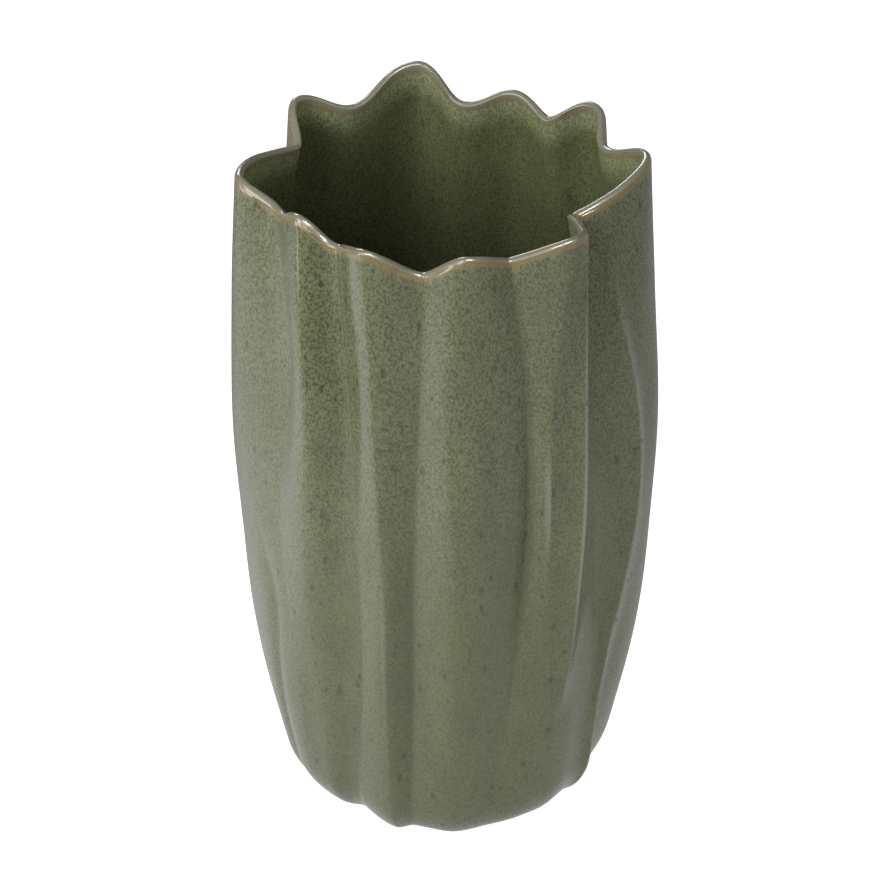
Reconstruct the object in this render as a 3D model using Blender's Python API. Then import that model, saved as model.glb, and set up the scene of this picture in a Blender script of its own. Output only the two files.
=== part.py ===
"""A tall stoneware vase with ten soft flutes and an open, wavy lip.

The clay shell carries one coat of glaze outside and one inside, and stands on four felt pads.
Everything is worked out from the wall's outer skin: a round envelope, drawn in at ten creases that
wander a little as they run down, with three narrow folds between them.  Each layer is the same
skin moved inwards, so the layers stay parallel and never meet.

Metres, +Z up.  The origin is the middle of the footprint on the resting plane; the front is -Y.
"""
import math

import bmesh
import bpy
import numpy as np

MM = 0.001

# ---------------------------------------------------------------- driving dimensions (millimetres)
LIP_HEIGHT = 298.0              # the lip at a plain lobe, above the table
PAD_THICKNESS = 1.5
GAP = 0.3                       # between two pieces that touch
FOOT_LEVEL = PAD_THICKNESS + GAP
GLAZE = 0.5                     # thickness of each coat
CLAY = GLAZE + GAP              # the clay starts this far inside the glazed skin
LIP_WALL = 3.8                  # both coats and the clay, at the lip
LOW_WALL = 5.0                  # the same, low down
FLOOR_LEVEL = 9.0               # top of the liner glaze on the floor

# The envelope's radius at these heights: the body swells a little above its middle.
ENVELOPE_HEIGHTS = (0, 60, 120, 180, 240, 298)
ENVELOPE_RADII = (72.5, 81.5, 87.5, 91, 89.5, 86.5)

# Round turn from the wall into the foot, and inside from the wall into the floor.
HEEL_INSET, HEEL_RISE = 15.0, 22.0
GLAZE_LINE = 60                 # degrees round the heel at which the outer glaze stops
BOWL_INSET, BOWL_RISE = 18.0, 24.0
FOOT_RING = 14.0                # width of the flat ring the pads are stuck to
FOOT_RECESS = 1.2               # how far the middle of the base is lifted
PAD_RADIUS = 5.5
PAD_REACH = 47.5                # from the axis to a pad's middle
PAD_COUNT = 4

# How far the axis stands from the middle of the footprint.
AXIS_X, AXIS_Y = 1.4, -0.4

# ---------------------------------------------------------------- flutes
# Heights at which each crease and lobe is given: foot, hip, waist, shoulder, lip.
STATIONS = (0, 75, 150, 225, 298)

# One row is a crease and the lobe after it, going anticlockwise seen from above.  For each of the
# two: its angle in degrees and its depth inside the envelope (mm) at the five stations, how far
# the lip rises there (mm), and how round the bend is on its clockwise and its anticlockwise side,
# from below 1, a sharp crease, to 2, a full curve.
FLUTES = (
    ((-146, -137, -140.5, -144, -157), (5.5, -1, 1.5, 12.5, 13.5), -10, (2.0, 0.9),
     (-134, -131, -129, -129, -139), (5.5, 0, -2.5, -0.5, 8), 1, (1.5, 1.4)),
    ((-125, -116, -114.5, -118, -126), (8.5, 5, 4.5, 8.5, 13.5), -9, (2.2, 0.8),
     (-107, -107, -106.5, -108.5, -112), (0, -0.5, -0.5, 0.5, 0.5), 0, (1.4, 1.3)),
    ((-101.5, -99.5, -98.5, -97, -96), (3.5, 7, 7.5, 7.5, 9), -12, (1.4, 1.2),
     (-86, -86.5, -86.5, -88, -84), (0, 0, 0, 0, 0), 0, (1.4, 1.8)),
    ((-74, -69, -63.5, -65, -70), (1.5, 7, 12, 10, 7.5), -7, (0.8, 1.0),
     (-51, -55.5, -58, -58.5, -52), (2, 3, 5, 4, -0.5), 0, (1.6, 1.4)),
    ((-27, -29, -37, -37.5, -33), (5.5, 9, 9.5, 12.5, 21), -7, (0.9, 0.8),
     (0, 0, 0, 0, 0), (3, -2, -1.5, 0, 0.3), 2, (1.4, 1.7)),
    ((26, 25.5, 24.5, 24, 24), (6, 5, 5, 7, 10), -9, (1.6, 1.6),
     (42, 41.5, 41, 40, 39), (2, 0.5, 0, 0.5, 2), 0, (2.0, 2.0)),
    ((54, 53.5, 52.5, 52, 52), (4, 6, 6, 8, 12), -9, (1.3, 1.3),
     (68, 67.5, 67, 66, 66), (1, 0, 0.5, 2.5, 8), -3, (1.6, 1.6)),
    ((84, 84, 83.5, 83, 82), (5, 6, 6, 8, 13), -9, (1.7, 1.7),
     (100, 99.5, 98.5, 98, 97), (1, 0, 0, -0.5, -4), 2, (1.7, 1.7)),
    ((122, 121.5, 120.5, 120, 120), (5, 6, 5.5, 6, 8), -8, (1.6, 1.6),
     (138, 138, 137.5, 137, 137), (3, 1.5, 0.5, 0, 0), 0, (1.7, 1.7)),
    ((151, 150.5, 150, 150, 150), (8, 6, 5, 6.5, 13), -11, (1.1, 1.1),
     (184, 184.5, 185.5, 186, 186), (7.5, 2, 1.5, 1, 0.3), -2, (1.5, 1.6)),
)

# Three narrow folds: the heights they are given at, then the angle and the height of the bend (mm,
# a groove is negative) at each of those, and the angle over which the bend dies away.
FOLDS = (
    ((0, 40, 75, 115, 150), (-153, -152, -149, -146, -152), (-0.5, -2, -2.5, -2, 0), 3),
    ((0, 50, 110, 160, 210, 245, 285), (-30, -29, -25, -22, -24, -27, -28), (4, 5, 5.5, 5.5, 5.5, 4, 0), 3.5),
    ((60, 100, 150, 200, 250, 298), (-51, -49.5, -48.5, -48, -47, -45.5), (0, 4, 6, 6, 5.5, 2.5), 4),
)
FOLD_SOFTNESS = 0.15            # how blunt a fold's crest is
LIP_REACH = 80.0                # the rise and fall of the lip dies out this far below it
CREASE_SOFTNESS = 0.04          # how far the glaze fills a crease, as a share of the half flute

# ---------------------------------------------------------------- mesh fineness
STEPS = 5                       # columns between a crease and its lobe
OUTER_WALL_LEVELS = 8
INNER_WALL_LEVELS = 6
HEEL_LEVELS = 3
PAD_SIDES = 24


def through(heights, values, at):
    """The height 'at' on a smooth curve through the values at the given heights."""
    xs, ys = np.asarray(heights, float), np.asarray(values, float)
    steps = np.diff(ys) / np.diff(xs)
    slopes = np.concatenate(([steps[0]], (steps[:-1] + steps[1:]) / 2, [steps[-1]]))
    i = int(np.clip(np.searchsorted(xs, at) - 1, 0, len(xs) - 2))
    width = xs[i + 1] - xs[i]
    t = (at - xs[i]) / width
    return (ys[i] * (2 * t**3 - 3 * t**2 + 1) + slopes[i] * width * (t**3 - 2 * t**2 + t)
            + ys[i + 1] * (3 * t**2 - 2 * t**3) + slopes[i + 1] * width * (t**3 - t**2))


def bend(t, crease_round, lobe_round):
    """0 at a crease (t = 0), 1 at a lobe (t = 1), with the crease filled in a little."""
    rise = (t**2 + CREASE_SOFTNESS**2)**(crease_round / 2) - CREASE_SOFTNESS**crease_round
    return rise / (rise + (1 - t)**lobe_round)


def skin(height):
    """The outer skin at one height: angles, radii, lip rise, and how slanted it is in plan."""
    envelope = through(ENVELOPE_HEIGHTS, ENVELOPE_RADII, height)
    creases, lobes = [], []
    for c_angle, c_depth, c_rise, c_round, l_angle, l_depth, l_rise, l_round in FLUTES:
        creases.append((through(STATIONS, c_angle, height), envelope - through(STATIONS, c_depth, height),
                        c_rise, c_round))
        lobes.append((through(STATIONS, l_angle, height), envelope - through(STATIONS, l_depth, height),
                      l_rise, l_round))
    rows = []
    for i, lobe in enumerate(lobes):
        after = creases[(i + 1) % len(creases)]
        for crease, backwards in ((creases[i], False), (after, True)):
            turn = 360 if crease[0] < lobe[0] and backwards else 0
            for k in range(STEPS):
                t = 1 - k / STEPS if backwards else k / STEPS
                part = bend(t, crease[3][0 if backwards else 1], lobe[3][1 if backwards else 0])
                rows.append((crease[0] + turn + (lobe[0] - crease[0] - turn) * t,
                             crease[1] + (lobe[1] - crease[1]) * part,
                             crease[2] + (lobe[2] - crease[2]) * part))
    angle, radius, rise = np.array(rows).T
    for heights, angles, amounts, spread in FOLDS:
        level = min(max(height, heights[0]), heights[-1])
        away = (angle - through(heights, angles, level) + 180) % 360 - 180
        crest = np.exp(FOLD_SOFTNESS - np.hypot(away / spread, FOLD_SOFTNESS))
        radius = radius + through(heights, amounts, level) * crest
    angle = np.radians(angle)
    run = (np.roll(angle, -1) - np.roll(angle, 1)) % (2 * math.pi)
    slope = (np.roll(radius, -1) - np.roll(radius, 1)) / (radius * run)
    return angle, radius, rise, np.sqrt(1 + slope**2)


def ring(height, inset, level, slanted, share=0.0):
    """One loop of points: the skin at a height, moved in and set at its own level.

    slanted is an inset square to the wall, inset is one along the radius, and share is how much
    of the lip's rise and fall the loop takes.
    """
    angle, radius, rise, slant = skin(height)
    reach = radius - inset - slanted * slant
    return np.stack([reach * np.cos(angle) - AXIS_X, reach * np.sin(angle) - AXIS_Y,
                     level + rise * share], axis=-1) * MM


def lip_share(height):
    return max(0.0, 1 - (LIP_HEIGHT - height) / LIP_REACH)**2


def wall_at(height):
    """The wall's whole thickness, which grows downwards."""
    return LOW_WALL + (LIP_WALL - LOW_WALL) * height / LIP_HEIGHT


def heel_rings(depth, first_angle):
    """Round the heel from first_angle (90 is the flat of the foot) up to the wall."""
    middle = FOOT_LEVEL + HEEL_RISE - CLAY
    loops = []
    for k in range(HEEL_LEVELS):
        turn = math.radians(first_angle * (1 - k / HEEL_LEVELS))
        level = middle - (HEEL_RISE - depth) * math.sin(turn)
        loops.append(ring(level, HEEL_INSET - (HEEL_INSET - depth) * math.cos(turn), level, 0))
    return loops


def outer_wall_rings(depth):
    """Straight up the outside, from the heel to where the lip starts to turn."""
    bottom = FOOT_LEVEL + HEEL_RISE - CLAY
    top = LIP_HEIGHT - LIP_WALL / 2
    heights = np.linspace(bottom, top, OUTER_WALL_LEVELS)
    return [ring(h, 0, h, depth, lip_share(h)) for h in heights]


def lip_rings(depth, turns):
    """Over the lip, at the given angles: 0 is outside and 180 inside."""
    half = LIP_WALL / 2
    loops = []
    for turn in np.radians(turns):
        across = half - (half - depth) * math.cos(turn)
        loops.append(ring(LIP_HEIGHT, 0, LIP_HEIGHT - half + (half - depth) * math.sin(turn), across, 1.0))
    return loops


def inner_wall_rings(depth):
    """Down the inside, from the lip to the bowl of the floor."""
    top = LIP_HEIGHT - LIP_WALL / 2
    heights = np.linspace(top, FLOOR_LEVEL + BOWL_RISE, INNER_WALL_LEVELS)
    return [ring(h, 0, h, wall_at(h) - depth, lip_share(h)) for h in heights]


def bowl_rings(depth):
    """Round from the inside wall into the floor."""
    middle = FLOOR_LEVEL + BOWL_RISE
    loops = []
    for k in range(1, HEEL_LEVELS + 1):
        turn = math.radians(90 * k / HEEL_LEVELS)
        level = middle - (BOWL_RISE + depth) * math.sin(turn)
        inset = wall_at(level) + BOWL_INSET - (BOWL_INSET + depth) * math.cos(turn)
        loops.append(ring(middle, inset, level, 0))
    return loops


def loft(name, loops, material, capped):
    """A closed body through the loops: capped at both ends, or joined last to first.

    Each four-sided face is split from its lower corner, so that two layers split the same way.
    """
    mesh = bmesh.new()
    rows = [[mesh.verts.new(point) for point in loop] for loop in loops]
    pairs = list(zip(rows, rows[1:]))
    if not capped:
        pairs.append((rows[-1], rows[0]))
    for first, second in pairs:
        rising = second[0].co.z > first[0].co.z
        for j, corner in enumerate(first):
            k = (j + 1) % len(first)
            ahead, across, above = first[k], second[k], second[j]
            if rising:
                mesh.faces.new((corner, ahead, across))
                mesh.faces.new((corner, across, above))
            else:
                mesh.faces.new((corner, ahead, above))
                mesh.faces.new((ahead, across, above))
    if capped:
        for row, points in ((rows[0][::-1], loops[0]), (rows[-1], loops[-1])):
            middle = mesh.verts.new((-AXIS_X * MM, -AXIS_Y * MM, points[0][2]))
            for j, corner in enumerate(row):
                mesh.faces.new((corner, row[(j + 1) % len(row)], middle))
    return finish(name, mesh, material)


def finish(name, mesh, material):
    """Turn a bmesh into a smooth-shaded object with its material."""
    bmesh.ops.recalc_face_normals(mesh, faces=mesh.faces)
    data = bpy.data.meshes.new(name)
    mesh.to_mesh(data)
    mesh.free()
    data.materials.append(material)
    data.shade_smooth()
    data.set_sharp_from_angle(angle=math.radians(50))
    piece = bpy.data.objects.new(name, data)
    bpy.context.scene.collection.objects.link(piece)
    return piece


def surface(name, colour, roughness):
    """A plain Principled material."""
    material = bpy.data.materials.new(name)
    material.use_nodes = True
    shader = material.node_tree.nodes["Principled BSDF"]
    shader.inputs["Base Color"].default_value = (*colour, 1)
    shader.inputs["Roughness"].default_value = roughness
    shader.inputs["Metallic"].default_value = 0
    return material


def stoneware_body():
    """The fired clay: foot, heel, wall, lip, inside wall and floor in one shell."""
    foot_inset = HEEL_INSET + FOOT_RING
    loops = [ring(FOOT_LEVEL, foot_inset, FOOT_LEVEL + FOOT_RECESS, 0),
             ring(FOOT_LEVEL, foot_inset, FOOT_LEVEL, 0)]
    loops += heel_rings(CLAY, 90)
    loops += outer_wall_rings(CLAY)
    loops += lip_rings(CLAY, (45, 90, 135))
    loops += inner_wall_rings(CLAY)
    loops += bowl_rings(CLAY)
    return loft("stoneware_body", loops, surface("fired_clay", (0.42, 0.33, 0.23), 0.85), True)


def outer_glaze():
    """The coat on the outside, from the glaze line on the heel to the inner edge of the lip."""
    def side(depth):
        return heel_rings(depth, GLAZE_LINE) + outer_wall_rings(depth) + lip_rings(depth, (45, 90, 140))

    loops = side(0) + side(GLAZE)[::-1]
    return loft("outer_glaze", loops, surface("sage_glaze", (0.19, 0.22, 0.13), 0.35), False)


def inner_glaze():
    """The liner coat, from the inner edge of the lip down over the floor."""
    def side(depth):
        return lip_rings(depth, (152,)) + inner_wall_rings(depth) + bowl_rings(depth)

    loops = side(GLAZE)[::-1] + side(0)
    return loft("inner_glaze", loops, surface("liner_glaze", (0.15, 0.17, 0.10), 0.35), True)


def felt_pads():
    """Four round self-adhesive pads, evenly round the flat ring of the foot."""
    felt = surface("felt", (0.05, 0.05, 0.045), 0.95)
    for k in range(PAD_COUNT):
        angle = math.radians(45 + 360 / PAD_COUNT * k)
        mesh = bmesh.new()
        bmesh.ops.create_cone(mesh, cap_ends=True, segments=PAD_SIDES, radius1=PAD_RADIUS * MM,
                              radius2=PAD_RADIUS * MM, depth=PAD_THICKNESS * MM)
        pad = finish(f"felt_pad_{k + 1}", mesh, felt)
        pad.location = ((PAD_REACH * math.cos(angle) - AXIS_X) * MM,
                        (PAD_REACH * math.sin(angle) - AXIS_Y) * MM, PAD_THICKNESS / 2 * MM)


def main():
    for old in list(bpy.data.objects):
        bpy.data.objects.remove(old)
    stoneware_body()
    outer_glaze()
    inner_glaze()
    felt_pads()


main()
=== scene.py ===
"""Looks of the fluted stoneware vase: fine glaze coats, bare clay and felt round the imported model.

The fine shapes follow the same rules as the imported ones, with far more columns and levels, so each
piece fills the space of the node it stands for.  Lengths are in millimetres unless MM turns them
into metres.  The vase stands on z = 0 with its front towards -Y.
"""
import math

import bpy
import numpy as np
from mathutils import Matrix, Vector


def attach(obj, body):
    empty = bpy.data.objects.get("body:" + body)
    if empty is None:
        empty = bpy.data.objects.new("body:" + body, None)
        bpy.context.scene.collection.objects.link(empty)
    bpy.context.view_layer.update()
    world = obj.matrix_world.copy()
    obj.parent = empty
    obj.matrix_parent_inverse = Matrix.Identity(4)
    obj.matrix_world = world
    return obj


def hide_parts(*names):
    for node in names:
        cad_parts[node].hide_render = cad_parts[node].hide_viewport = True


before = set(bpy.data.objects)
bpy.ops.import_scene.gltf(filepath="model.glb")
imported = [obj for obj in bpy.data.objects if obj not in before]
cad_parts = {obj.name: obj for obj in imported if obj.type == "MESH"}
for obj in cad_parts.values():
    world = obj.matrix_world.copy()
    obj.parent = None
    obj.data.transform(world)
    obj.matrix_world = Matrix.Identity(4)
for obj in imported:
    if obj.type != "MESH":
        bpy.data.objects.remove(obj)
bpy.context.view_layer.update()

MM = 0.001

# ---------------------------------------------------------------- the wall, as the model has it
LIP_HEIGHT = 298.0              # the lip at a plain lobe
PAD_THICKNESS = 1.5
GAP = 0.3                       # between two pieces that touch
FOOT_LEVEL = PAD_THICKNESS + GAP
GLAZE = 0.5                     # thickness of each coat
CLAY = GLAZE + GAP              # the clay starts this far inside the glazed skin
LIP_WALL = 3.8                  # both coats and the clay, at the lip
LOW_WALL = 5.0                  # the same, low down
FLOOR_LEVEL = 9.0               # top of the liner glaze on the floor

ENVELOPE_HEIGHTS = (0, 60, 120, 180, 240, 298)
ENVELOPE_RADII = (72.5, 81.5, 87.5, 91, 89.5, 86.5)
HEEL_INSET, HEEL_RISE = 15.0, 22.0
GLAZE_LINE = 60                 # degrees round the heel at which the outer glaze stops
BOWL_INSET, BOWL_RISE = 18.0, 24.0
FOOT_RING = 14.0                # width of the flat ring the pads are stuck to
FOOT_RECESS = 1.2               # how far the middle of the base is lifted
PAD_RADIUS = 5.5
PAD_REACH = 47.5                # from the axis to a pad's middle
PAD_COUNT = 4
AXIS_X, AXIS_Y = 1.4, -0.4      # from the axis to the middle of the footprint

# Heights at which each crease and lobe is given: foot, hip, waist, shoulder, lip.
STATIONS = (0, 75, 150, 225, 298)

# One row is a crease and the lobe after it, going anticlockwise seen from above.  For each of the
# two: its angle in degrees and its depth inside the envelope at the five stations, how far the lip
# rises there, and how round the bend is on its clockwise and its anticlockwise side.
FLUTES = (
    ((-146, -137, -140.5, -144, -157), (5.5, -1, 1.5, 12.5, 13.5), -10, (2.0, 0.9),
     (-134, -131, -129, -129, -139), (5.5, 0, -2.5, -0.5, 8), 1, (1.5, 1.4)),
    ((-125, -116, -114.5, -118, -126), (8.5, 5, 4.5, 8.5, 13.5), -9, (2.2, 0.8),
     (-107, -107, -106.5, -108.5, -112), (0, -0.5, -0.5, 0.5, 0.5), 0, (1.4, 1.3)),
    ((-101.5, -99.5, -98.5, -97, -96), (3.5, 7, 7.5, 7.5, 9), -12, (1.4, 1.2),
     (-86, -86.5, -86.5, -88, -84), (0, 0, 0, 0, 0), 0, (1.4, 1.8)),
    ((-74, -69, -63.5, -65, -70), (1.5, 7, 12, 10, 7.5), -7, (0.8, 1.0),
     (-51, -55.5, -58, -58.5, -52), (2, 3, 5, 4, -0.5), 0, (1.6, 1.4)),
    ((-27, -29, -37, -37.5, -33), (5.5, 9, 9.5, 12.5, 21), -7, (0.9, 0.8),
     (0, 0, 0, 0, 0), (3, -2, -1.5, 0, 0.3), 2, (1.4, 1.7)),
    ((26, 25.5, 24.5, 24, 24), (6, 5, 5, 7, 10), -9, (1.6, 1.6),
     (42, 41.5, 41, 40, 39), (2, 0.5, 0, 0.5, 2), 0, (2.0, 2.0)),
    ((54, 53.5, 52.5, 52, 52), (4, 6, 6, 8, 12), -9, (1.3, 1.3),
     (68, 67.5, 67, 66, 66), (1, 0, 0.5, 2.5, 8), -3, (1.6, 1.6)),
    ((84, 84, 83.5, 83, 82), (5, 6, 6, 8, 13), -9, (1.7, 1.7),
     (100, 99.5, 98.5, 98, 97), (1, 0, 0, -0.5, -4), 2, (1.7, 1.7)),
    ((122, 121.5, 120.5, 120, 120), (5, 6, 5.5, 6, 8), -8, (1.6, 1.6),
     (138, 138, 137.5, 137, 137), (3, 1.5, 0.5, 0, 0), 0, (1.7, 1.7)),
    ((151, 150.5, 150, 150, 150), (8, 6, 5, 6.5, 13), -11, (1.1, 1.1),
     (184, 184.5, 185.5, 186, 186), (7.5, 2, 1.5, 1, 0.3), -2, (1.5, 1.6)),
)

# Three narrow folds: the heights they are given at, then the angle and the height of the bend (a
# groove is negative) at each of those, and the angle over which the bend dies away.
FOLDS = (
    ((0, 40, 75, 115, 150), (-153, -152, -149, -146, -152), (-0.5, -2, -2.5, -2, 0), 3),
    ((0, 50, 110, 160, 210, 245, 285), (-30, -29, -25, -22, -24, -27, -28), (4, 5, 5.5, 5.5, 5.5, 4, 0), 3.5),
    ((60, 100, 150, 200, 250, 298), (-51, -49.5, -48.5, -48, -47, -45.5), (0, 4, 6, 6, 5.5, 2.5), 4),
)
FOLD_SOFTNESS = 0.15            # how blunt a fold's crest is
LIP_REACH = 80.0                # the rise and fall of the lip dies out this far below it

# ---------------------------------------------------------------- fineness and small shapes
COLUMN_WIDTH = 0.8              # degrees, the widest a column is in a half flute
CREASE_SOFTNESS = 0.04          # how far the glaze fills a crease, as a share of the half flute
OUTER_LEVELS = 150
INNER_LEVELS = 110
HEEL_LEVELS = 12
LIP_LEVELS = 18
HIDDEN_LEVELS = 24
SEAM_TURN = 146                 # degrees over the lip at which the outer coat meets the liner
SEAM = 0.3                      # degrees between them
COAT_BACK = 0.77                # the coats' hidden faces lie this deep, just clear of the clay
BEAD_WIDTH = 2.5                # degrees round the heel over which the glaze line rounds off
LINE_WAVES = ((1.2, 5, 1), (0.8, 11, 0), (0.4, 23, 2))      # of the glaze line: degrees, waves round, phase
FOOT_STEP = (                   # into the base: distance in from the flat ring's inner edge, and lift
    (26, FOOT_RECESS),
    (12, FOOT_RECESS),
    (2.0, FOOT_RECESS),
    (1.2, 1.02),
    (0.6, 0.42),
    (0, 0.08),
    (-0.8, 0),
)
PAD_TOP = FOOT_LEVEL - 0.02     # the felt reaches almost to the foot
PAD_EDGE = 0.3                  # size of the rounding at a pad's lower edge
PAD_SIDE_STEP = 6               # degrees
SHARP_ANGLE = 50                # degrees, from which an edge is shaded sharp
WAVES = (                       # hand-made unevenness: height (mm), waves round, mm a radian up, phase
    (0.12, 7, 23, 0.0),
    (0.10, -13, 17, 2.1),
    (0.07, 19, 29, 4.0),
    (0.05, -29, 13, 1.2),
)
BULGE_SPAN = 2.0                # degrees each way over which a ridge or crease is measured


def through(heights, values, at):
    """The height 'at' on a smooth curve through the values at the given heights."""
    xs, ys = np.asarray(heights, float), np.asarray(values, float)
    steps = np.diff(ys) / np.diff(xs)
    slopes = np.concatenate(([steps[0]], (steps[:-1] + steps[1:]) / 2, [steps[-1]]))
    i = int(np.clip(np.searchsorted(xs, at) - 1, 0, len(xs) - 2))
    width = xs[i + 1] - xs[i]
    t = (at - xs[i]) / width
    return (ys[i] * (2 * t**3 - 3 * t**2 + 1) + slopes[i] * width * (t**3 - 2 * t**2 + t)
            + ys[i + 1] * (3 * t**2 - 2 * t**3) + slopes[i + 1] * width * (t**3 - t**2))


def bend(t, crease_round, lobe_round):
    """0 at a crease (t = 0), 1 at a lobe (t = 1), with the crease filled in a little."""
    soft = CREASE_SOFTNESS
    rise = (t * t + soft * soft)**(crease_round / 2) - soft**crease_round
    fall = (1 - t)**lobe_round
    return rise / (rise + fall)


def half_flutes():
    """For each half flute, going round: its crease and lobe numbers, whether it falls, its columns."""
    halves = []
    for i, flute in enumerate(FLUTES):
        after = (i + 1) % len(FLUTES)
        for crease, backwards in ((i, False), (after, True)):
            spans = [abs((lobe - edge + 180) % 360 - 180) for edge, lobe in zip(FLUTES[crease][0], flute[4])]
            halves.append((crease, i, backwards, math.ceil(max(spans) / COLUMN_WIDTH)))
    return halves


HALVES = half_flutes()


def skin(height):
    """The outer skin at one height: angles, radii, lip rise, slant in plan, and bulge (mm)."""
    envelope = through(ENVELOPE_HEIGHTS, ENVELOPE_RADII, height)
    creases = [(through(STATIONS, f[0], height), envelope - through(STATIONS, f[1], height), f[2], f[3])
               for f in FLUTES]
    lobes = [(through(STATIONS, f[4], height), envelope - through(STATIONS, f[5], height), f[6], f[7])
             for f in FLUTES]
    parts = []
    for c, i, backwards, count in HALVES:
        crease, lobe = creases[c], lobes[i]
        turn = 360 if crease[0] < lobe[0] and backwards else 0
        t = np.arange(count) / count
        if backwards:
            t = 1 - t
        part = bend(t, crease[3][0 if backwards else 1], lobe[3][1 if backwards else 0])
        parts.append(np.stack([crease[0] + turn + (lobe[0] - crease[0] - turn) * t,
                               crease[1] + (lobe[1] - crease[1]) * part,
                               crease[2] + (lobe[2] - crease[2]) * part]))
    angle, radius, rise = np.concatenate(parts, axis=1)
    for heights, angles, amounts, spread in FOLDS:
        level = min(max(height, heights[0]), heights[-1])
        away = (angle - through(heights, angles, level) + 180) % 360 - 180
        crest = np.exp(FOLD_SOFTNESS - np.hypot(away / spread, FOLD_SOFTNESS))
        radius = radius + through(heights, amounts, level) * crest
    angle = np.radians(angle)
    for tall, around, rate, phase in WAVES:
        radius = radius + tall * np.sin(around * angle + height / rate + phase)
    run = (np.roll(angle, -1) - np.roll(angle, 1)) % (2 * math.pi)
    slope = (np.roll(radius, -1) - np.roll(radius, 1)) / (radius * run)
    span = math.radians(BULGE_SPAN)
    beside = [np.interp(angle + step, angle, radius, period=2 * math.pi) for step in (-span, span)]
    return angle, radius, rise, np.sqrt(1 + slope**2), radius - sum(beside) / 2


def ring(height, inset, level, slanted, share=0.0):
    """One loop of points in metres, with the skin's bulge there as a fourth number."""
    angle, radius, rise, slant, bulge = skin(height)
    reach = radius - inset - slanted * slant
    return np.stack([(reach * np.cos(angle) - AXIS_X) * MM, (reach * np.sin(angle) - AXIS_Y) * MM,
                     (level + rise * share) * MM, bulge], axis=-1)


def lip_share(height):
    """How much of the lip's rise and fall the wall takes at this height."""
    return max(0.0, 1 - (LIP_HEIGHT - height) / LIP_REACH)**2


def wall_at(height):
    """The wall's whole thickness, which grows downwards."""
    return LOW_WALL + (LIP_WALL - LOW_WALL) * height / LIP_HEIGHT


def heel_ring(depth, degrees):
    """Round the heel: 90 is the flat of the foot and 0 the wall.  Either may change round the vase."""
    turn = np.radians(degrees)
    level = FOOT_LEVEL + HEEL_RISE - CLAY - (HEEL_RISE - depth) * np.sin(turn)
    return ring(float(np.mean(level)), HEEL_INSET - (HEEL_INSET - depth) * np.cos(turn), level, 0)


def outer_wall_rings(depth, count):
    """Straight up the outside, from the heel to where the lip starts to turn."""
    bottom = FOOT_LEVEL + HEEL_RISE - CLAY
    top = LIP_HEIGHT - LIP_WALL / 2
    return [ring(h, 0, h, depth, lip_share(h)) for h in np.linspace(bottom, top, count)]


def lip_rings(depth, turns):
    """Over the lip, at the given angles: 0 is outside and 180 inside."""
    half = LIP_WALL / 2
    loops = []
    for turn in np.radians(turns):
        across = half - (half - depth) * math.cos(turn)
        loops.append(ring(LIP_HEIGHT, 0, LIP_HEIGHT - half + (half - depth) * math.sin(turn), across, 1.0))
    return loops


def inner_wall_rings(depth, count):
    """Down the inside, from the lip to the bowl of the floor."""
    top = LIP_HEIGHT - LIP_WALL / 2
    heights = np.linspace(top, FLOOR_LEVEL + BOWL_RISE, count)
    return [ring(h, 0, h, wall_at(h) - depth, lip_share(h)) for h in heights]


def bowl_rings(depth, count):
    """Round from the inside wall into the floor."""
    middle = FLOOR_LEVEL + BOWL_RISE
    loops = []
    for turn in np.radians(np.linspace(0, 90, count + 1)[1:]):
        level = middle - (BOWL_RISE + depth) * math.sin(turn)
        inset = wall_at(level) + BOWL_INSET - (BOWL_INSET + depth) * math.cos(turn)
        loops.append(ring(middle, inset, level, 0))
    return loops


def loft(name, loops, capped, shading):
    """A closed body through the loops: capped at both ends, or joined last to first."""
    rows = np.array(loops)
    levels, columns = rows.shape[:2]
    grid = np.arange(levels * columns).reshape(levels, columns)
    if not capped:
        grid = np.vstack([grid, grid[:1]])
    ahead = np.roll(grid, -1, axis=1)
    faces = np.stack([grid[:-1], ahead[:-1], ahead[1:], grid[1:]], axis=-1).reshape(-1, 4).tolist()
    points = rows[..., :3].reshape(-1, 3)
    bulge = rows[..., 3].ravel()
    if capped:
        for row, backwards in ((0, True), (levels - 1, False)):
            middle = len(points)
            points = np.vstack([points, [[-AXIS_X * MM, -AXIS_Y * MM, rows[row, 0, 2]]]])
            bulge = np.append(bulge, 0)
            for j in range(columns):
                edge = (grid[row, j], grid[row, (j + 1) % columns])
                faces.append((*(edge[::-1] if backwards else edge), middle))
    crown = np.zeros(len(points))
    crown[:levels * columns] = crown_distance(rows).ravel()
    crown[levels * columns:] = LIP_HEIGHT
    return body(name, points, faces, shading, crown=crown, bulge=bulge)


def crown_distance(rows):
    """How far each point is from the crown of the lip (mm), along its own column."""
    steps = np.linalg.norm(np.diff(rows[..., :3], axis=0), axis=-1) / MM
    along = np.vstack([np.zeros((1, rows.shape[1])), np.cumsum(steps, axis=0)])
    top = np.argmax(rows[..., 2], axis=0)
    return np.abs(along - along[top, np.arange(rows.shape[1])])


def body(name, points, faces, shading, **values):
    """A smooth-shaded mesh object that carries the given values at its points."""
    data = bpy.data.meshes.new(name)
    data.from_pydata(points.tolist(), [], faces)
    for key, numbers in values.items():
        data.attributes.new(key, "FLOAT", "POINT").data.foreach_set("value", numbers.astype(np.float32))
    data.materials.append(shading)
    data.shade_smooth()
    data.set_sharp_from_angle(angle=math.radians(SHARP_ANGLE))
    piece = bpy.data.objects.new(name, data)
    bpy.context.scene.collection.objects.link(piece)
    return piece


# ---------------------------------------------------------------- node helpers
def feed(tree, socket, value):
    """Link a socket's value, or set a constant."""
    if isinstance(value, bpy.types.NodeSocket):
        tree.links.new(value, socket)
    else:
        socket.default_value = value


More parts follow.
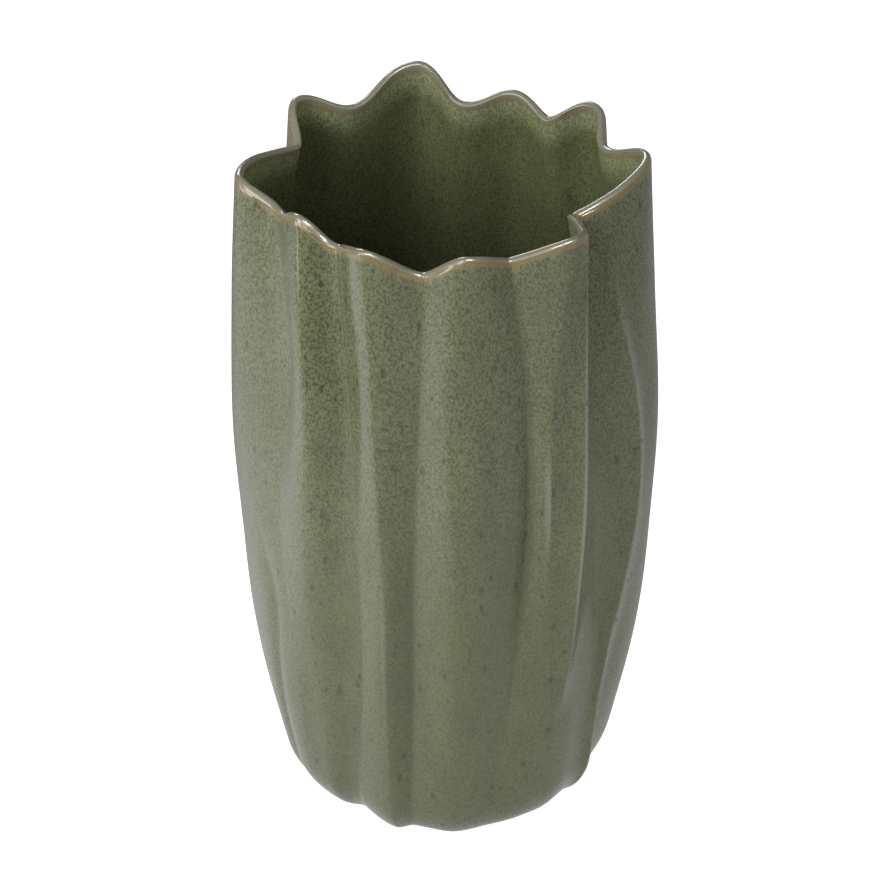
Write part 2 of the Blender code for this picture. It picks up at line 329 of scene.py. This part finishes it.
def add(tree, kind, inputs, **settings):
    """A new shader node with its settings and inputs, by name or number."""
    node = tree.nodes.new("ShaderNode" + kind)
    for key, value in settings.items():
        setattr(node, key, value)
    for key, value in inputs.items():
        feed(tree, node.inputs[key], value)
    return node


def sums(tree, operation, a, b):
    """The result of a maths node on two numbers."""
    return add(tree, "Math", {0: a, 1: b}, operation=operation).outputs[0]


def blend(tree, share, a, b):
    """Colour a turning into colour b."""
    return add(tree, "Mix", {0: share, 6: a, 7: b}, data_type="RGBA").outputs[2]


def point_value(tree, name):
    """A number that the mesh carries at its points."""
    return add(tree, "Attribute", {}, attribute_name=name).outputs["Fac"]


def between(tree, value, low, high, start=0.0, end=1.0):
    """value's way from low to high, as a smooth number from start to end."""
    inputs = {"Value": value, "From Min": low, "From Max": high, "To Min": start, "To Max": end}
    return add(tree, "MapRange", inputs, interpolation_type="SMOOTHSTEP").outputs[0]


def stretched(tree, tall):
    """The object's own coordinates in millimetres, with patterns 'tall' times longer up than across."""
    place = add(tree, "TexCoord", {}).outputs["Object"]
    return add(tree, "Mapping", {"Vector": place, "Scale": (1 / MM, 1 / MM, 1 / MM / tall)}).outputs[0]


def noise(tree, place, size, detail=2.0, roughness=0.5):
    """Smooth noise from 0 to 1 with spots about 'size' across."""
    inputs = {"Vector": place, "Scale": 1 / size, "Detail": detail, "Roughness": roughness}
    return add(tree, "TexNoise", inputs).outputs["Fac"]


def specks(tree, place, spacing, radius):
    """1 inside scattered round specks, 0 between them."""
    cells = add(tree, "TexVoronoi", {"Vector": place, "Scale": 1 / spacing})
    own = add(tree, "SeparateColor", {0: cells.outputs["Color"]}).outputs[0]
    reach = sums(tree, "MULTIPLY", own, radius / spacing)
    return between(tree, sums(tree, "SUBTRACT", reach, cells.outputs["Distance"]), -0.03, 0.03)


def new_material(name):
    """A material, its node tree and its Principled shader."""
    material = bpy.data.materials.new(name)
    material.use_nodes = True
    return material, material.node_tree, material.node_tree.nodes["Principled BSDF"]


# ---------------------------------------------------------------- materials
SAGE = (0.150, 0.168, 0.074, 1)
SAGE_PALE = (0.230, 0.245, 0.130, 1)
SAGE_DEEP = (0.082, 0.095, 0.036, 1)
SAGE_RIM_LIGHT = (0.420, 0.470, 0.260, 1)           # painted light: the inside, lighter below the lip
SPECK = (0.045, 0.050, 0.020, 1)
OCHRE = (0.310, 0.235, 0.105, 1)                # the band outside, under the lip's crown
TAN = (0.290, 0.235, 0.110, 1)                  # the same inside
CROWN = (0.320, 0.310, 0.220, 1)
RIDGE_HIGHLIGHT = (0.420, 0.420, 0.340, 1)                # painted highlight along sharp ridges
CLAY_BUFF = (0.46, 0.37, 0.26, 1)
CLAY_DARK = (0.30, 0.22, 0.14, 1)
CLAY_IRON = (0.10, 0.06, 0.03, 1)
FELT_PALE = (0.075, 0.073, 0.066, 1)
FELT_DARK = (0.02, 0.02, 0.018, 1)

# Sizes in millimetres.  A pair is where a tint starts and where it is full.
MOTTLE_SIZE = 0.95
CALM_LEVEL, LIVELY_LEVEL = 90.0, 230.0          # the mottling grows stronger between these heights
CLOUD_SIZE = 12
SPECK_KINDS = ((1.8, 9.0, 1.4), (2.2, 5.0, 1.0))    # how much taller than wide, spacing, largest radius
# Bulge (mm) at which the painted highlight on ridges starts and is full.
HIGHLIGHT_BULGE = (0.9, 1.8)
# Bulge (mm) at which the painted shade in creases starts and is full.
CREASE_SHADE_BULGE = (-0.3, -1.2)
WANDER_SIZE, WANDER_REACH = 4, 4.0              # of the tinted bands' edges
DRIP_SIZE, DRIP_REACH = 2.4, 4.0
RIM_LIGHT_DEPTH = (18, 4)                           # these five are distances from the crown; the first places the painted light inside below the lip
TAN_DEPTH = (4.2, 3.2)
CROWN_DEPTH = (2.9, 2.1)
OCHRE_TOP = (2.0, 2.7)
OCHRE_DEPTH = (6.0, 3.2)


def glaze(name, inside):
    """Glossy sage glaze: mottled, specked, breaking to ochre where it thins at the lip's edges."""
    material, tree, shader = new_material(name)
    crown = point_value(tree, "crown")
    level = add(tree, "SeparateXYZ", {0: stretched(tree, 1.0)}).outputs["Z"]
    lively = between(tree, level, CALM_LEVEL, LIVELY_LEVEL, 0.45, 0.55 if inside else 1.0)

    mottle = noise(tree, stretched(tree, 1.3), MOTTLE_SIZE, 2, 0.6)
    cloud = noise(tree, stretched(tree, 2.0), CLOUD_SIZE, 2)
    spots = blend(tree, between(tree, mottle, 0.32, 0.68), SAGE_DEEP, SAGE_PALE)
    colour = blend(tree, lively, SAGE, spots)
    colour = blend(tree, between(tree, cloud, 0.40, 0.68, 0, 0.22), colour, SAGE_DEEP)

    if not inside:
        bulge = point_value(tree, "bulge")
        # Painted highlight: a pale line along sharp ridges.
        colour = blend(tree, between(tree, bulge, *HIGHLIGHT_BULGE, 0, 0.7), colour, RIDGE_HIGHLIGHT)
        # Painted shade: darker in the creases.
        colour = blend(tree, between(tree, bulge, *CREASE_SHADE_BULGE, 0, 0.5), colour, SAGE_DEEP)

    few, many = [specks(tree, stretched(tree, tall), apart, radius) for tall, apart, radius in SPECK_KINDS]
    dots = sums(tree, "MULTIPLY", sums(tree, "MAXIMUM", few, many), 0.45 if inside else 0.75)
    colour = blend(tree, dots, colour, SPECK)

    loose = sums(tree, "SUBTRACT", noise(tree, stretched(tree, 1.6), WANDER_SIZE, 3, 0.6), 0.5)
    wander = sums(tree, "MULTIPLY", loose, WANDER_REACH)
    drips = between(tree, noise(tree, stretched(tree, 9.0), DRIP_SIZE, 1), 0.60, 0.72, 0, DRIP_REACH)
    edge = sums(tree, "SUBTRACT", sums(tree, "ADD", crown, wander), drips)
    if inside:
        # Painted light: the inside is lighter for a band below the lip, broken into patches by the mottle.
        rim_light_patches = between(tree, mottle, 0.35, 0.65, 0.3, 0.9)
        painted_rim_light = sums(tree, "MULTIPLY", between(tree, crown, *RIM_LIGHT_DEPTH), rim_light_patches)
        colour = blend(tree, painted_rim_light, colour, SAGE_RIM_LIGHT)
        colour = blend(tree, between(tree, edge, *TAN_DEPTH, 0, 0.8), colour, TAN)
    colour = blend(tree, between(tree, crown, *CROWN_DEPTH), colour, CROWN)
    if not inside:
        band = sums(tree, "MULTIPLY", between(tree, crown, *OCHRE_TOP), between(tree, edge, *OCHRE_DEPTH))
        colour = blend(tree, sums(tree, "MULTIPLY", band, 0.9), colour, OCHRE)

    relief = add(tree, "Bump", {"Height": mottle, "Distance": 0.00012, "Strength": 0.18})
    feed(tree, shader.inputs["Base Color"], colour)
    feed(tree, shader.inputs["Roughness"], between(tree, mottle, 0.3, 0.7, 0.24, 0.34))
    feed(tree, shader.inputs["Normal"], relief.outputs[0])
    shader.inputs["IOR"].default_value = 1.5
    shader.inputs["Coat Weight"].default_value = 0.5
    shader.inputs["Coat Roughness"].default_value = 0.08
    return material


def bare_clay():
    """Fired buff stoneware: fine grain with darker iron specks."""
    material, tree, shader = new_material("bare_clay")
    place = stretched(tree, 1.0)
    grain = noise(tree, place, 0.7, 4, 0.7)
    colour = blend(tree, between(tree, grain, 0.3, 0.7), CLAY_DARK, CLAY_BUFF)
    colour = blend(tree, specks(tree, place, 2.5, 0.9), colour, CLAY_IRON)
    relief = add(tree, "Bump", {"Height": grain, "Distance": 0.0003, "Strength": 0.6})
    feed(tree, shader.inputs["Base Color"], colour)
    feed(tree, shader.inputs["Roughness"], between(tree, grain, 0.3, 0.7, 0.8, 0.95))
    feed(tree, shader.inputs["Normal"], relief.outputs[0])
    return material


def felt():
    """Pressed dark wool felt."""
    material, tree, shader = new_material("felt")
    fibres = noise(tree, stretched(tree, 0.4), 0.35, 4, 0.7)
    colour = blend(tree, between(tree, fibres, 0.35, 0.65), FELT_DARK, FELT_PALE)
    relief = add(tree, "Bump", {"Height": fibres, "Distance": 0.0003, "Strength": 0.9})
    feed(tree, shader.inputs["Base Color"], colour)
    feed(tree, shader.inputs["Normal"], relief.outputs[0])
    shader.inputs["Roughness"].default_value = 0.95
    shader.inputs["Sheen Weight"].default_value = 0.4
    return material


# ---------------------------------------------------------------- pieces
def glaze_line():
    """Where the outer coat stops round the heel (degrees), wandering a little."""
    angle = skin(FOOT_LEVEL)[0]
    return GLAZE_LINE + sum(tall * np.sin(around * angle + phase) for tall, around, phase in LINE_WAVES)


def outer_coat(shading):
    """The coat on the outside, from its rounded lower edge to the seam inside the lip."""
    line = glaze_line()
    rise = np.linspace(0, math.pi / 2, 5)
    loops = [heel_ring(COAT_BACK * (1 - math.sin(a)), line + BEAD_WIDTH * math.cos(a)) for a in rise]
    loops += [heel_ring(0, line * (1 - k / HEEL_LEVELS)) for k in range(1, HEEL_LEVELS)]
    loops += outer_wall_rings(0, OUTER_LEVELS)
    over = SEAM_TURN * np.sin(np.linspace(0, math.pi / 2, LIP_LEVELS))
    loops += lip_rings(0, over[1:])
    back = lip_rings(COAT_BACK, over[::-3]) + outer_wall_rings(COAT_BACK, HIDDEN_LEVELS)[::-1]
    back += [heel_ring(COAT_BACK, line * k / 4) for k in range(1, 4)]
    piece = loft("outer_glaze_coat", loops + back, False, shading)
    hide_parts("outer_glaze")
    return piece


def liner_coat(shading):
    """The coat on the inside, from the seam inside the lip down over the floor."""
    span = 180 - SEAM_TURN - SEAM
    over = SEAM_TURN + SEAM + span * (1 - np.cos(np.linspace(0, math.pi / 2, 8)))
    hidden = [SEAM_TURN + SEAM, 165]
    back = lip_rings(COAT_BACK, hidden) + inner_wall_rings(COAT_BACK, HIDDEN_LEVELS)
    back += bowl_rings(COAT_BACK, 6)
    loops = lip_rings(0, over[:-1]) + inner_wall_rings(0, INNER_LEVELS) + bowl_rings(0, 16)
    piece = loft("liner_glaze_coat", back[::-1] + loops, True, shading)
    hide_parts("inner_glaze")
    return piece


def clay_body(shading):
    """The fired clay, bare only on the foot."""
    inner = HEEL_INSET + FOOT_RING
    loops = [ring(FOOT_LEVEL, inner + inwards, FOOT_LEVEL + lift, 0) for inwards, lift in FOOT_STEP]
    loops += [heel_ring(CLAY, 90 * (1 - k / HEEL_LEVELS)) for k in range(HEEL_LEVELS)]
    loops += outer_wall_rings(CLAY, HIDDEN_LEVELS)
    loops += lip_rings(CLAY, (30, 60, 90, 120, 150))
    loops += inner_wall_rings(CLAY, HIDDEN_LEVELS) + bowl_rings(CLAY, 6)
    piece = loft("clay_body", loops, True, shading)
    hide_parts("stoneware_body")
    return piece


def felt_dot(number, shading):
    """A round felt pad with soft edges, its glue side just under the foot."""
    turn = math.radians(45 + 360 / PAD_COUNT * (number - 1))
    profile = [(PAD_RADIUS - PAD_EDGE, 0), (PAD_RADIUS - 0.1, 0.08), (PAD_RADIUS, PAD_EDGE),
               (PAD_RADIUS, PAD_TOP - 0.15), (PAD_RADIUS - 0.1, PAD_TOP)]
    sides = np.radians(np.arange(0, 360, PAD_SIDE_STEP))
    points, faces = [], []
    for reach, level in profile:
        points += [(reach * math.cos(a), reach * math.sin(a), level) for a in sides]
    count = len(sides)
    for row in range(len(profile) - 1):
        for j in range(count):
            k = (j + 1) % count
            faces.append((row * count + j, row * count + k, (row + 1) * count + k, (row + 1) * count + j))
    faces.append(tuple(range(count))[::-1])
    faces.append(tuple(range(count * (len(profile) - 1), count * len(profile))))
    middle = np.array([PAD_REACH * math.cos(turn) - AXIS_X, PAD_REACH * math.sin(turn) - AXIS_Y, 0])
    piece = body(f"felt_dot_{number}", (np.array(points) + middle) * MM, faces, shading)
    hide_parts(f"felt_pad_{number}")
    return piece


# ---------------------------------------------------------------- stage
FLOOR_REACH = 6.0               # m
WHITE = 0.9
WHITE_GLOW = 0.95               # what the camera sees of the floor
TABLE_LEVEL, MIRRORED_LEVEL = -1.0, -0.5        # mm

# The glaze mirrors a floor this bright, with brighter pools: x, y (m), reach of the full and the
# last glow (m), and strength.
SHEEN = 0.28
SHEEN_POOLS = (
    (-0.55, -0.10, 0.15, 0.60, 0.9),
    (0.05, -0.45, 0.20, 0.80, 0.35),
)

LAMP_DISTANCE = 1.5             # m, from the point the lamps face
LAMP_AIM = Vector((0, 0, 0.16))

# Name, side (m), azimuth, elevation, power (W), whether it lights, whether it is mirrored.
LAMPS = (
    ("key", 0.75, -45, 30, 12.4, True, True),
    ("front", 0.75, -15, 30, 3.4, True, True),
    ("left", 0.75, -105, 30, 2.2, True, False),
    ("right", 0.75, 75, 30, 2.0, True, False),
    ("low_front_right", 0.75, 45, 5, 1.8, True, False),
    ("low_right", 0.75, 75, 5, 1.5, True, False),
    ("back_right", 0.75, 135, 55, 4.0, True, False),
    ("glint_front", 0.45, 10, 50, 12.0, False, True),
    ("glint_left", 0.5, -75, 5, 5.0, False, True),
    ("glint_right", 0.45, 45, 55, 16.0, False, True),
    ("glint_back", 0.5, -165, 30, 6.0, False, True),
)

CAMERA_PLACE = (-0.0012, -1.6536, 1.1552)       # m
CAMERA_TILT = 59                # degrees up from straight down
CAMERA_LENS, CAMERA_SENSOR = 182.84, 36         # mm


def plane(name, level, material):
    """A large flat square, level (mm) above the vase's resting plane."""
    reach = FLOOR_REACH
    data = bpy.data.meshes.new(name)
    corners = [(-reach, -reach), (reach, -reach), (reach, reach), (-reach, reach)]
    data.from_pydata([(x, y, level * MM) for x, y in corners], [], [(0, 1, 2, 3)])
    data.materials.append(material)
    sheet = bpy.data.objects.new(name, data)
    bpy.context.scene.collection.objects.link(sheet)
    return sheet


def matt_white(name, colour, glow=0.0):
    """A shineless grey or white that may glow."""
    material, tree, shader = new_material(name)
    shader.inputs["Base Color"].default_value = (colour, colour, colour, 1)
    shader.inputs["Roughness"].default_value = 1.0
    shader.inputs["Specular IOR Level"].default_value = 0.0
    shader.inputs["Emission Color"].default_value = (1, 1, 1, 1)
    shader.inputs["Emission Strength"].default_value = glow
    return material, tree, shader


def floor():
    """A pale floor in three layers: one gives light back, one is seen, one is mirrored in the glaze."""
    table = plane("table", TABLE_LEVEL, matt_white("pale_table", WHITE)[0])
    table.visible_camera = False
    table.visible_glossy = False
    sheet = plane("floor", 0.0, matt_white("white_sheet", WHITE, WHITE_GLOW)[0])
    sheet.visible_diffuse = False
    sheet.visible_glossy = False
    sheet.visible_shadow = False

    material, tree, shader = matt_white("mirrored_sheet", 0.0)
    place = add(tree, "TexCoord", {}).outputs["Object"]
    glow = SHEEN
    for x, y, inner, outer, strength in SHEEN_POOLS:
        far = add(tree, "VectorMath", {0: place, 1: (x, y, 0)}, operation="DISTANCE").outputs["Value"]
        glow = sums(tree, "ADD", glow, between(tree, far, inner, outer, strength, 0.0))
    feed(tree, shader.inputs["Emission Strength"], glow)
    mirrored = plane("mirrored_floor", MIRRORED_LEVEL, material)
    mirrored.visible_camera = False
    mirrored.visible_diffuse = False
    mirrored.visible_shadow = False


def softbox(name, side, azimuth, elevation, power, lights, mirrored):
    """A square lamp that faces the vase; azimuth 0 is in front of it and 90 to its right."""
    lamp = bpy.data.lights.new(name, "AREA")
    lamp.shape = "SQUARE"
    lamp.size = side
    lamp.energy = power
    a, e = math.radians(azimuth), math.radians(elevation)
    away = Vector((math.sin(a) * math.cos(e), -math.cos(a) * math.cos(e), math.sin(e)))
    holder = bpy.data.objects.new(name, lamp)
    holder.location = LAMP_AIM + away * LAMP_DISTANCE
    holder.rotation_euler = (-away).to_track_quat("-Z", "Y").to_euler()
    holder.visible_diffuse = lights
    holder.visible_glossy = mirrored
    bpy.context.scene.collection.objects.link(holder)


def studio():
    """The lamps, and a white surround that only the camera sees."""
    world = bpy.data.worlds.new("studio")
    world.use_nodes = True
    world.node_tree.nodes["Background"].inputs["Color"].default_value = (1, 1, 1, 1)
    world.cycles_visibility.diffuse = False
    world.cycles_visibility.glossy = False
    bpy.context.scene.world = world
    for lamp in LAMPS:
        softbox(*lamp)
    bpy.context.scene.view_settings.view_transform = "Standard"


def camera():
    """Looks down at the front of the vase from about two metres away."""
    lens = bpy.data.cameras.new("camera")
    lens.lens = CAMERA_LENS
    lens.sensor_width = CAMERA_SENSOR
    eye = bpy.data.objects.new("camera", lens)
    eye.location = CAMERA_PLACE
    eye.rotation_euler = (math.radians(CAMERA_TILT), 0, 0)
    bpy.context.scene.collection.objects.link(eye)
    bpy.context.scene.camera = eye


def main():
    """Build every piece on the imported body, then the stage."""
    pieces = [outer_coat(glaze("sage_glaze", False)), liner_coat(glaze("sage_liner_glaze", True))]
    pieces.append(clay_body(bare_clay()))
    wool = felt()
    pieces += [felt_dot(k + 1, wool) for k in range(PAD_COUNT)]
    for piece in pieces:
        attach(piece, "root")
    floor()
    studio()
    camera()


main()
